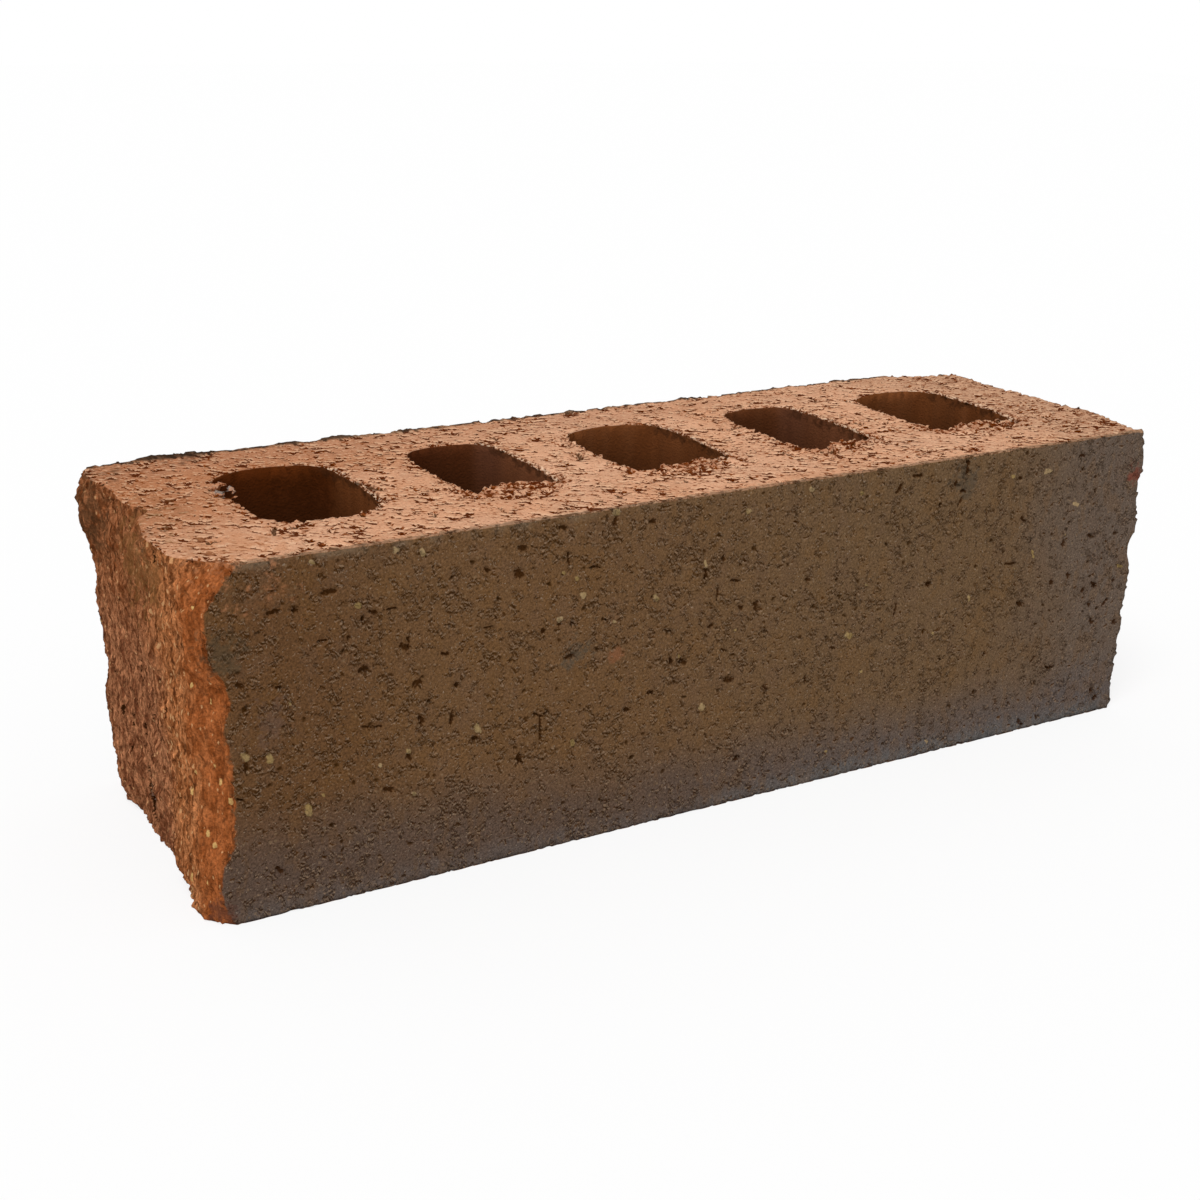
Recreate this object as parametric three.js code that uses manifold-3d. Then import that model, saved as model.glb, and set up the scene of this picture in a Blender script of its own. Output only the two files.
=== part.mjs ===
// Cored clay brick in the 290 x 90 x 90 mm format. A stiff clay column is pushed through a die
// with five core rods, wires cut it across at the height of one brick, and its ends are torn off
// rough. The die leaves the two long faces smooth, the wire leaves two flat beds, and where it
// leaves the clay it drags a thin ragged lip over the front rim of a core.
// Millimetres, +Z up. X runs along the brick, -Y is the face laid outwards, and the origin is on
// the lower bed at the middle of the format.
import * as THREE from 'three';
import { mergeVertices } from 'three/addons/utils/BufferGeometryUtils.js';
import Module from 'manifold-3d';

const wasm = await Module();
wasm.setup();

// Format
const LENGTH = 290;
const WIDTH = 90;
const HEIGHT = 90;

// Cores. Wide ones and narrow ones take turns, a wide one first.
const CORE_COUNT = 5;
const WIDE_CORE = 33.1;
const NARROW_CORE = 27.1;
const FRONT_WEB = 22.8; // clay between the front face and the cores
const BACK_WEB = 18.3;
const END_WEB = 24.4; // clay between the format's end and the outer cores
const CORE_END_RADIUS = 26; // the crowned front and back of a core
const CORE_CORNER = 4.5; // how far a corner's rounding runs along both walls
const CORE_SIDE_BOW = 1; // how far a side wall bows outwards at its middle
const CURVE_STEPS = 10;

// Lips dragged over the front rims. Each runs between two places across its core, counted from
// the core's middle, and its ragged edge stops at the given distance from the front face.
const LIP_THICKNESS = 2.4;
const LIP_RAGGEDNESS = 1.1;
const LIP_STEP = 2.2; // distance between the points of the ragged edge
const LIP_ROOT = 3; // how far the lip runs back into the web
const LIPS = [
  { core: 1, from: -11, to: 11, edge: 31 },
  { core: 2, from: -11, to: 14, edge: 29.5 },
  { core: 3, from: -6, to: 11.5, edge: 28.5 },
  { core: 4, from: -12, to: 14.5, edge: 29.5 },
];

// The burr that the wire leaves along the upper back arris, as humps of the given length and
// reach, placed by their middle's share of the format length
const BURR_THICKNESS = 3.5;
const BURR_STEP = 3;
const BURR_ROOT = 2;
const BURR_RAGGEDNESS = 0.4; // share of the reach
const LEFT_BURR = { share: 0.115, length: 60, reach: 2 };
const MIDDLE_BURR = { share: 0.26, length: 30, reach: 1.8 };
const LOW_BURR = { share: 0.34, length: 40, reach: 1.2 };

// Rough scoops out of the upper back arris and its right corner: centre and half sizes, with the
// centre counted from the upper back right corner of the format
const SCOOP_ROUGHNESS = 0.06; // share of the radius
const SCOOP_DETAIL = 6;
const CORNER_SCOOP = { x: -2, y: 12, z: 6, along: 31, across: 21, up: 16 };
const ARRIS_SCOOP = { x: -100, y: 5, z: 3, along: 24, across: 7, up: 6 };

// Torn ends. Each edge of an end is given as [share of the edge, mm outside the format], from
// front to back along a bed and from the lower bed to the upper one along a face, and the surface
// between follows all four. Swells stand out of it and nicks (less than 0) go into it: across is
// the share from front to back, up the share from the lower bed, and spread their size in mm.
const LEFT_END = {
  side: -1,
  lowerBed: [[0, 1.2], [0.28, -0.4], [0.38, -2.6], [0.5, -3], [0.85, -3], [1, -4.8]],
  upperBed: [[0, 2.2], [0.35, 2.6], [0.6, 0.6], [1, 0]],
  frontFace: [[0, 1.2], [0.5, 1.6], [1, 2.2]],
  backFace: [[0, -4.8], [0.08, -2.8], [0.2, -1.4], [0.3, -2], [0.4, -2], [0.65, -1], [0.8, -0.4],
    [1, 0]],
  swells: [
    { across: 0.95, up: 0.9, spread: 9, out: 3.6 },
    { across: 1, up: 1, spread: 3, out: -2.6 },
    { across: 0.53, up: 1, spread: 5, out: -4.4 },
    { across: 0.3, up: 1, spread: 7, out: 1.2 },
    { across: 0.85, up: 0.05, spread: 6, out: 1.4 },
  ],
  lump: 9,
  lumpHeight: 0.9,
  grain: 4,
  grainHeight: 0.6,
  pitch: 2.6,
  seed: 5,
};
const RIGHT_END = {
  side: 1,
  lowerBed: [[0, 1.6], [0.5, 1.4], [1, 0.6]],
  upperBed: [[0, 0.4], [0.2, 1.8], [0.5, 1.2], [0.75, 0.2], [1, -1]],
  frontFace: [[0, 1.6], [0.15, 1.2], [0.35, 2.2], [0.5, 1.8], [0.6, 0.6], [0.64, 2.6], [0.73, 2],
    [0.8, 1], [0.88, 2.2], [1, 0.4]],
  backFace: [[0, 0.6], [0.5, 1], [1, -1]],
  swells: [
    { across: 0.25, up: 1, spread: 9, out: 1 },
    { across: 0.05, up: 1, spread: 5, out: -1.6 },
    { across: 0.66, up: 1, spread: 4, out: -1.2 },
  ],
  lump: 8,
  lumpHeight: 0.8,
  grain: 4,
  grainHeight: 0.7,
  pitch: 2.6,
  seed: 11,
};
// The spall along the front left arris, cut at 45 degrees: [share of the height, mm of the front
// face that is lost inside the format]
const SPALL = [[0, 5], [0.05, 3], [0.1, 2], [0.17, 2.3], [0.22, 6], [0.46, 6.2], [0.56, 4.3],
  [0.64, 6.4], [0.7, 4.4], [0.75, 1.4], [0.88, 0.8], [0.93, 4.4], [1, 9]];

const OFFCUT = 14; // length of the blank beyond the format at each end, which is torn off
const CUT_MARGIN = 2; // how far a cutting solid runs past the faces that it cuts

const CLAY = new THREE.MeshStandardMaterial({ color: 0x7d5240, roughness: 0.95, metalness: 0 });

// A geometry with its shared vertices merged, which needs positions alone
function merge(geometry) {
  const bare = geometry.clone();
  bare.deleteAttribute('normal');
  bare.deleteAttribute('uv');
  return mergeVertices(bare);
}

// A closed geometry as a solid, without the triangles that merging shrinks to nothing
function solidOf(geometry) {
  const merged = merge(geometry);
  const index = merged.index.array;
  const kept = [];
  for (let i = 0; i < index.length; i += 3) {
    const [a, b, c] = [index[i], index[i + 1], index[i + 2]];
    if (a !== b && b !== c && c !== a) kept.push(a, b, c);
  }
  const mesh = new wasm.Mesh({
    numProp: 3,
    vertProperties: new Float32Array(merged.attributes.position.array),
    triVerts: new Uint32Array(kept),
  });
  return new wasm.Manifold(mesh);
}

// A solid as a geometry for the scene graph
function geometryOf(solid) {
  const mesh = solid.getMesh();
  const geometry = new THREE.BufferGeometry();
  geometry.setAttribute('position', new THREE.BufferAttribute(mesh.vertProperties, 3));
  geometry.setIndex(new THREE.BufferAttribute(mesh.triVerts, 1));
  geometry.computeVertexNormals();
  return geometry;
}

// An outline in X and Y, extruded upwards between two heights
function prism(outline, bottom, top) {
  const geometry = new THREE.ExtrudeGeometry(outline, {
    depth: top - bottom,
    bevelEnabled: false,
    curveSegments: CURVE_STEPS,
  });
  geometry.translate(0, 0, bottom);
  return solidOf(geometry);
}

// A fixed number between -1 and 1 for each point of a lattice
function latticeNumber(i, j, seed) {
  let bits = Math.imul(i, 374761393) ^ Math.imul(j, 668265263) ^ Math.imul(seed, 1274126177);
  bits = Math.imul(bits ^ (bits >>> 13), 1103515245);
  return ((bits ^ (bits >>> 16)) >>> 0) / 0x7fffffff - 1;
}

// Even relief between -1 and 1 over a surface, with lumps of the given size
function relief(a, b, size, seed) {
  const i = Math.floor(a / size);
  const j = Math.floor(b / size);
  const s = THREE.MathUtils.smoothstep(a / size - i, 0, 1);
  const t = THREE.MathUtils.smoothstep(b / size - j, 0, 1);
  const near = THREE.MathUtils.lerp(latticeNumber(i, j, seed), latticeNumber(i + 1, j, seed), s);
  const far = THREE.MathUtils.lerp(
    latticeNumber(i, j + 1, seed), latticeNumber(i + 1, j + 1, seed), s);
  return THREE.MathUtils.lerp(near, far, t);
}

// The value of a list of [share, value] points at any share between 0 and 1
function follow(points, Interpolant) {
  const shares = points.map(([share]) => share);
  const values = points.map(([, value]) => value);
  const line = new Interpolant(shares, values, 1);
  return (share) => line.evaluate(THREE.MathUtils.clamp(share, 0, 1))[0];
}

// Cores
const coreBottom = -CUT_MARGIN;
const coreTop = HEIGHT + CUT_MARGIN;
const corePitch = (LENGTH - 2 * END_WEB - WIDE_CORE) / (CORE_COUNT - 1);
const coreMiddle = (FRONT_WEB - BACK_WEB) / 2;
const coreLength = WIDTH - FRONT_WEB - BACK_WEB;

function coreWidth(number) {
  return number % 2 === 0 ? WIDE_CORE : NARROW_CORE;
}

function coreX(number) {
  return (number - (CORE_COUNT - 1) / 2) * corePitch;
}

// Half of a core's length at a distance from its middle line
function coreReach(across) {
  return coreLength / 2 - CORE_END_RADIUS + Math.sqrt(CORE_END_RADIUS ** 2 - across ** 2);
}

// A core's section: crowned front and back, sides that bow a little, rounded corners
function coreOutline(width, middleX) {
  const side = width / 2 - CORE_SIDE_BOW;
  const corner = coreReach(side);
  const endX = side - CORE_CORNER;
  const sweep = Math.asin(endX / CORE_END_RADIUS);
  const centre = coreLength / 2 - CORE_END_RADIUS;
  const outline = new THREE.Shape();
  for (const turn of [1, -1]) {
    const y = (value) => coreMiddle + turn * value;
    const x = (value) => middleX + turn * value;
    if (turn === 1) outline.moveTo(x(side), y(CORE_CORNER - corner));
    outline.quadraticCurveTo(x(side + 2 * CORE_SIDE_BOW), y(0), x(side), y(corner - CORE_CORNER));
    outline.quadraticCurveTo(x(side), y(corner), x(endX), y(coreReach(endX)));
    const facing = turn * Math.PI / 2;
    outline.absarc(middleX, y(centre), CORE_END_RADIUS, facing - sweep, facing + sweep, false);
    outline.quadraticCurveTo(x(-side), y(corner), x(-side), y(corner - CORE_CORNER));
  }
  return outline;
}

// A lip's outline: a ragged edge over the core, and a straight root inside the web
function lipOutline({ core, from, to, edge }) {
  const middleX = coreX(core);
  const root = (x) => coreMiddle - coreReach(x) - LIP_ROOT;
  const points = [new THREE.Vector2(middleX + from, root(from))];
  const steps = Math.round((to - from) / LIP_STEP);
  for (let i = 0; i <= steps; i += 1) {
    const x = THREE.MathUtils.lerp(from, to, i / steps);
    const fade = 1 - Math.abs(2 * i / steps - 1) ** 4;
    const inner = -WIDTH / 2 + edge + LIP_RAGGEDNESS * latticeNumber(i, core, 3);
    const rim = coreMiddle - coreReach(x);
    points.push(new THREE.Vector2(middleX + x, THREE.MathUtils.lerp(rim, inner, fade)));
  }
  points.push(new THREE.Vector2(middleX + to, root(to)));
  points.reverse();
  return new THREE.Shape(points);
}

// A burr's outline: a hump outside the back face, and a straight root inside it
function burrOutline({ share, length, reach }, number) {
  const middleX = (share - 0.5) * LENGTH;
  const back = WIDTH / 2;
  const points = [new THREE.Vector2(middleX + length / 2, back - BURR_ROOT)];
  const steps = Math.round(length / BURR_STEP);
  for (let i = 0; i <= steps; i += 1) {
    const along = 0.5 - i / steps;
    const rough = 1 + BURR_RAGGEDNESS * latticeNumber(i, number, 7);
    const hump = reach * rough * Math.cos(Math.PI * along) ** 2;
    points.push(new THREE.Vector2(middleX + along * length, back + hump));
  }
  points.push(new THREE.Vector2(middleX - length / 2, back - BURR_ROOT));
  return new THREE.Shape(points);
}

// A rough ball that scoops a chip out of the upper back arris
function scoop({ x, y, z, along, across, up }, number) {
  const ball = merge(new THREE.IcosahedronGeometry(1, SCOOP_DETAIL));
  const position = ball.attributes.position;
  for (let i = 0; i < position.count; i += 1) {
    const rough = 1 + SCOOP_ROUGHNESS * latticeNumber(i, number, 13);
    position.setXYZ(i, position.getX(i) * rough, position.getY(i) * rough, position.getZ(i) * rough);
  }
  ball.scale(along, across, up);
  ball.translate(LENGTH / 2 + x, WIDTH / 2 + y, HEIGHT + z);
  return solidOf(ball);
}

// How far a torn end stands outside the format at a place on it
function tornSurface(end) {
  const lowerBed = follow(end.lowerBed, THREE.CubicInterpolant);
  const upperBed = follow(end.upperBed, THREE.CubicInterpolant);
  const frontFace = follow(end.frontFace, THREE.CubicInterpolant);
  const backFace = follow(end.backFace, THREE.CubicInterpolant);
  return (y, z) => {
    const u = THREE.MathUtils.clamp(y / WIDTH + 0.5, 0, 1);
    const v = THREE.MathUtils.clamp(z / HEIGHT, 0, 1);
    const lerp = THREE.MathUtils.lerp;
    const betweenBeds = lerp(lowerBed(u), upperBed(u), v);
    const betweenFaces = lerp(frontFace(v), backFace(v), u);
    const corners = lerp(lerp(frontFace(0), backFace(0), u), lerp(frontFace(1), backFace(1), u), v);
    let out = betweenBeds + betweenFaces - corners;
    for (const swell of end.swells) {
      const away = Math.hypot(y - (swell.across - 0.5) * WIDTH, z - swell.up * HEIGHT);
      out += swell.out * Math.exp(-((away / swell.spread) ** 2));
    }
    out += end.lumpHeight * relief(y, z, end.lump, end.seed);
    out += end.grainHeight * relief(y, z, end.grain, end.seed + 1);
    return out;
  };
}

// The clay that is torn away beyond an end: a block whose inner face is the torn surface. Where
// the end has a spall, the block also takes the arris off.
function offcut(end, spall) {
  const standsOut = tornSurface(end);
  const tall = HEIGHT + 2 * CUT_MARGIN;
  const wide = WIDTH + 2 * CUT_MARGIN;
  const block = new THREE.BoxGeometry(
    OFFCUT, wide, tall, 1, Math.round(wide / end.pitch), Math.round(tall / end.pitch));
  const outside = end.side * (LENGTH / 2 + OFFCUT + CUT_MARGIN);
  block.translate(0, 0, HEIGHT / 2);
  const position = block.attributes.position;
  for (let i = 0; i < position.count; i += 1) {
    const y = position.getY(i);
    const z = position.getZ(i);
    let out = standsOut(y, z);
    if (spall) out = Math.min(out, y + WIDTH / 2 - spall(z / HEIGHT));
    const inner = end.side * (LENGTH / 2 + out);
    position.setX(i, position.getX(i) * end.side < 0 ? inner : outside);
  }
  return solidOf(block);
}

const blankHalf = LENGTH / 2 + OFFCUT;
const blankOutline = new THREE.Shape([
  new THREE.Vector2(-blankHalf, -WIDTH / 2),
  new THREE.Vector2(blankHalf, -WIDTH / 2),
  new THREE.Vector2(blankHalf, WIDTH / 2),
  new THREE.Vector2(-blankHalf, WIDTH / 2),
]);

let body = prism(blankOutline, 0, HEIGHT);
for (let number = 0; number < CORE_COUNT; number += 1) {
  const outline = coreOutline(coreWidth(number), coreX(number));
  body = body.subtract(prism(outline, coreBottom, coreTop));
}
for (const lip of LIPS) {
  body = body.add(prism(lipOutline(lip), HEIGHT - LIP_THICKNESS, HEIGHT));
}
[LEFT_BURR, MIDDLE_BURR, LOW_BURR].forEach((burr, number) => {
  body = body.add(prism(burrOutline(burr, number), HEIGHT - BURR_THICKNESS, HEIGHT));
});
[CORNER_SCOOP, ARRIS_SCOOP].forEach((chip, number) => {
  body = body.subtract(scoop(chip, number));
});
body = body.subtract(offcut(LEFT_END, follow(SPALL, THREE.LinearInterpolant)));
body = body.subtract(offcut(RIGHT_END, null));

const brick = new THREE.Mesh(geometryOf(body), CLAY);
brick.name = 'brick';

const group = new THREE.Group();
group.add(brick);

export default group;
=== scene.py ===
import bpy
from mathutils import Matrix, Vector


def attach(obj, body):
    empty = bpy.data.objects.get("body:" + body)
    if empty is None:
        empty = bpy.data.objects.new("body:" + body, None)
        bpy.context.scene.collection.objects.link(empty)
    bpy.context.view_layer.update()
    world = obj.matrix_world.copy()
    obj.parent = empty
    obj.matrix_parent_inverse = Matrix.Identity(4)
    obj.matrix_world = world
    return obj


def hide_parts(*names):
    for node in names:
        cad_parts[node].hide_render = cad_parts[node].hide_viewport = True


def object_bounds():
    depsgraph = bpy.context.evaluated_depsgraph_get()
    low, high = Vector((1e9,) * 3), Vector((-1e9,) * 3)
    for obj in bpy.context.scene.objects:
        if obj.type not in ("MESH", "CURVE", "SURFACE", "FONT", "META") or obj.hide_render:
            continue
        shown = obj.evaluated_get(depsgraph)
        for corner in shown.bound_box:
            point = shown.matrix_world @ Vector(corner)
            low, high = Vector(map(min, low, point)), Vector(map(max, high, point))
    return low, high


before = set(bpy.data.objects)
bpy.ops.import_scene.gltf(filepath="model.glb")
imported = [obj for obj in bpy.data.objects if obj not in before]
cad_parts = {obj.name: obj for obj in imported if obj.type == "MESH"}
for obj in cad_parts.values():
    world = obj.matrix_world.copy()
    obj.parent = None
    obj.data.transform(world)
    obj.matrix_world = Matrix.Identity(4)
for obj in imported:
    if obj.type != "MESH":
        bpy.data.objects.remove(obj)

import copy
import math
import random

import bmesh
import bpy
import numpy as np
from mathutils import Matrix, Vector

cad_low, cad_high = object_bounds()

# ----------------------------------------------------------------------
# Camera. It stands to the front left of the brick, a little above it, and looks down at the
# front face, the left end and the upper bed.
EYE = (-0.26105, -0.40468, 0.21899)
EYE_TILT = (70.0595, -1.6641, -30.7073)
LENS = 53.5144


def placed(name, data):
    """A new object in the scene."""
    thing = bpy.data.objects.new(name, data)
    bpy.context.scene.collection.objects.link(thing)
    return thing


camera_data = bpy.data.cameras.new("camera")
camera_data.lens = LENS
camera_data.clip_start = 0.01
camera = placed("camera", camera_data)
camera.location = EYE
camera.rotation_euler = [math.radians(angle) for angle in EYE_TILT]
bpy.context.scene.camera = camera

# ----------------------------------------------------------------------
# The brick. One piece of fired clay: the die left a dark smooth skin on its long faces, the wire
# left pale torn beds, the core rods left smooth walls and its ends were torn off. All its sizes
# are in millimetres.
METRE = 1000
FACE = -cad_low.y * METRE  # from the middle of the brick to its front and back faces
TOP = cad_high.z * METRE
MIDDLE = TOP / 2
CORE_FIELD = (124, 30)  # half the length and width of the field that holds the cores
PITCH = 52  # from the middle of one core to the next
BACK_RIM = 23  # the back rims of the cores lie behind this
LIPS_LEFT = -74  # the lips that the wire dragged over the rims lie to the right of this
LIPS_BACK = -11  # and in front of this
DRAG = 34  # the wire drags the clay of the beds aslant, this many degrees off the brick's length
UPRIGHT = (1, 0.7, 2.2)  # the grain of the torn ends stands upright
VOXEL = 0.5  # the cells of the even mesh
SMOOTHINGS = 40  # of the core walls
TRIANGLES = 194_000  # that are left when the mesh is thinned

# The larger hollows and the bare stones that show in the faces. Each is a stroke from one place
# to another, and its half width. Places are (x, z) on the front face, (x, y) on the upper bed and
# (y, z) on the left end.
FRONT_HOLLOWS = [
    (-116, 79.9, -113.5, 79.7, 0.8), (-129.5, 77, -127.3, 77.2, 0.6), (-123.5, 76.8, -122.8, 76.6, 0.6),
    (-107, 71.4, -106.2, 72.6, 0.35), (-104.6, 73.2, -103.2, 73, 0.6), (-101, 73.1, -98, 73.3, 0.3),
    (-110.4, 68, -110.1, 67.6, 0.6), (-117.8, 68.3, -115.5, 68.2, 0.3), (-107, 59.3, -106, 59.2, 0.9),
    (-96.5, 63.5, -95, 62.8, 0.8), (-95, 65.3, -94.8, 64, 0.4), (-93.3, 53, -92, 53.4, 0.9),
    (-107, 44.6, -104.5, 44, 0.35), (-104.5, 44, -102.3, 43.8, 0.35), (-92, 44, -91.3, 43, 0.8),
    (-82.6, 51, -82, 50.5, 0.6), (-83.3, 43.6, -83.8, 41, 0.6), (-101.3, 26.8, -99.7, 26.4, 0.8),
    (-95.2, 34.3, -94.7, 33.8, 0.8), (-136.2, 41, -136, 39.3, 0.6), (-138.7, 32.6, -137.5, 32.2, 0.4),
    (-129.5, 12.5, -128.5, 11.4, 0.6), (-137.2, 61, -136.6, 60.6, 0.7), (-128.3, 58.6, -126.6, 58.4, 0.4),
    (-74.6, 64.2, -72.4, 64.3, 0.3), (-74.3, 79.2, -73.7, 78.8, 0.6), (-86, 59.6, -84.3, 59.2, 0.5),
    (-77.5, 35.6, -76.5, 35.3, 0.7), (-65, 83.2, -63.8, 83, 0.9), (-65.8, 77, -64.8, 76.5, 1.1),
    (-54, 87, -52.8, 86.8, 0.6), (-38.3, 86.8, -38.5, 85.7, 0.7), (-27.8, 85, -26.6, 84.9, 0.6),
    (-51.8, 80.2, -51.3, 76.8, 0.35), (-45, 75.4, -42.5, 75, 0.4), (-58.4, 60.9, -58, 60.5, 0.7),
    (-54.2, 61.9, -53.4, 61.7, 0.4), (-41.3, 61, -40.3, 60.7, 0.4), (-50.4, 61.6, -50.1, 61.2, 0.5),
    (-51.5, 52.4, -49.6, 52.6, 0.7), (-8.3, 53.4, -7, 53.9, 0.5), (-22.9, 55, -20.4, 54, 0.3),
    (-4.3, 46.2, -2.4, 45.5, 0.4), (-20.2, 46.2, -19.8, 45.2, 0.6), (-16.8, 45.2, -15.5, 44.6, 0.8),
    (-60.7, 39, -58.6, 37.6, 0.3), (-58.6, 37.6, -56.5, 38.7, 0.3), (-58.7, 37.6, -58.6, 31, 0.4),
    (-64.8, 28.2, -64.4, 26.3, 0.8), (-33.2, 34.7, -32.4, 34.3, 0.7), (-26.6, 38, -25.4, 37.8, 0.6),
    (-1.9, 37, 0, 36.7, 0.9), (-10.1, 69.6, -10.5, 67.3, 0.5), (-6, 64, -6.4, 60.2, 0.35),
    (-2, 65.3, 0.4, 64.8, 0.4), (-5.2, 72.4, -4.8, 71.6, 0.6), (1.2, 57.4, 1.8, 57, 0.7),
    (2.7, 13.2, 3.4, 12.8, 0.7), (53.5, 84.6, 52, 82.4, 0.6), (57.3, 86.6, 60.4, 86.4, 0.5),
    (77, 88.3, 77.2, 85, 0.7), (73, 82.8, 73.3, 82, 0.7), (75.4, 80, 76.9, 79.8, 0.5),
    (76, 78, 74.8, 75.8, 0.4), (68, 77.3, 68.2, 76.7, 0.6), (6.2, 57.6, 6.8, 56, 0.9),
    (55.3, 49.6, 55, 46.2, 0.4), (33, 40.2, 34.4, 39.8, 0.4), (24.8, 33.2, 25, 31.4, 0.5),
    (66, 53.8, 66.7, 53.4, 0.8), (23.1, 61.8, 23.5, 61.2, 0.7), (10.6, 33, 12, 31.5, 0.4),
    (118, 59.2, 118.1, 57.9, 0.8), (99.7, 69.1, 101, 67.6, 0.6), (128.2, 59.6, 128.8, 59.3, 0.8),
    (114.7, 47.2, 115, 46.2, 0.8), (121.2, 48.2, 121.8, 47.8, 0.8), (95.3, 55.4, 99.2, 55, 0.4),
    (102.4, 42.2, 104, 41.4, 0.9), (128.2, 42, 128.8, 41.9, 0.7), (132.6, 43.4, 133.6, 42.8, 0.9),
    (141, 43.8, 141.2, 43, 0.7), (110.2, 21.8, 111.6, 23.3, 0.5), (143.8, 29.6, 144.4, 29, 0.9),
    (139.3, 37.2, 138, 36, 0.7), (131.7, 37.2, 132.2, 36.4, 0.7), (133.6, 31.4, 134.4, 30.8, 0.9),
    (117, 19, 120, 18.6, 0.5), (140.3, 5, 139.7, 4.6, 0.9), (137.4, 8, 138, 7.4, 0.8),
    (120.6, 85, 122.3, 84.9, 0.6), (97.2, 81.4, 98, 80.9, 0.5), (108, 3.2, 109.4, 2, 0.7),
]
FRONT_STONES = [
    (-136.3, 43.3, -136, 42.6, 1.1), (-130.7, 41.7, -130.3, 40.8, 1.1), (-121.5, 26.8, -121, 24.9, 1.1),
    (-118.9, 87.8, -118.5, 87.6, 0.7), (-107.9, 75.6, -107.6, 75.3, 0.8), (-98.2, 87.6, -97.8, 87.4, 0.9),
    (-91.5, 86.3, -91, 85.8, 0.9), (-95.3, 35.9, -95.1, 35.5, 0.8), (-102.8, 33.8, -102.6, 33.5, 0.6),
    (-94, 24.2, -93.8, 23.9, 0.7), (-76.6, 38.5, -76.1, 37.4, 1.0), (-125.1, 54.4, -125, 54, 0.5),
    (-117.6, 29.2, -117.4, 28.8, 0.5), (-38.8, 89, -37.8, 88.9, 1.0), (-49.3, 73.4, -49.1, 73, 0.7),
    (-53.2, 75.3, -52.8, 75.1, 0.6), (-47.2, 68.4, -46.8, 68.1, 1.0), (-54, 63.2, -53.6, 62.9, 0.9),
    (-25.6, 64.6, -25.3, 63.9, 0.9), (-38, 59.9, -37.6, 59.6, 0.6), (-10.8, 72, -10.4, 70.2, 0.5),
    (2, 83.9, 2.4, 83.7, 0.9), (-17.8, 47, -17.6, 46.6, 0.5), (-9.7, 30.8, -9.3, 30.3, 1.1),
    (-49.4, 28.9, -49.2, 28, 0.8), (0, 51.2, 0.3, 51, 0.5), (22.2, 87.4, 22.7, 87, 0.8),
    (39.4, 84.1, 39.8, 83.9, 0.8), (38.2, 43.1, 39.2, 42.6, 1.2), (44.2, 31.1, 44.5, 31, 0.5),
    (69.8, 38.2, 70.2, 37.8, 0.6), (107, 81.8, 109, 81.8, 0.9), (120.2, 70.5, 121.8, 69.9, 0.7),
    (105.3, 58, 106.3, 55.8, 0.5), (98.9, 53.5, 99, 53.4, 0.4), (82.3, 47.4, 82.6, 46.2, 0.6),
    (142.3, 47.8, 143.6, 47.4, 0.8), (94.3, 82.1, 94.8, 81.9, 0.7), (118, 61.1, 118.1, 60.9, 0.4),
    (43.2, 57.2, 44.2, 56.6, 0.3), (71.3, 4.2, 71.8, 3.6, 0.6), (34, 8.6, 34.2, 8.4, 0.6),
]
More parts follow.
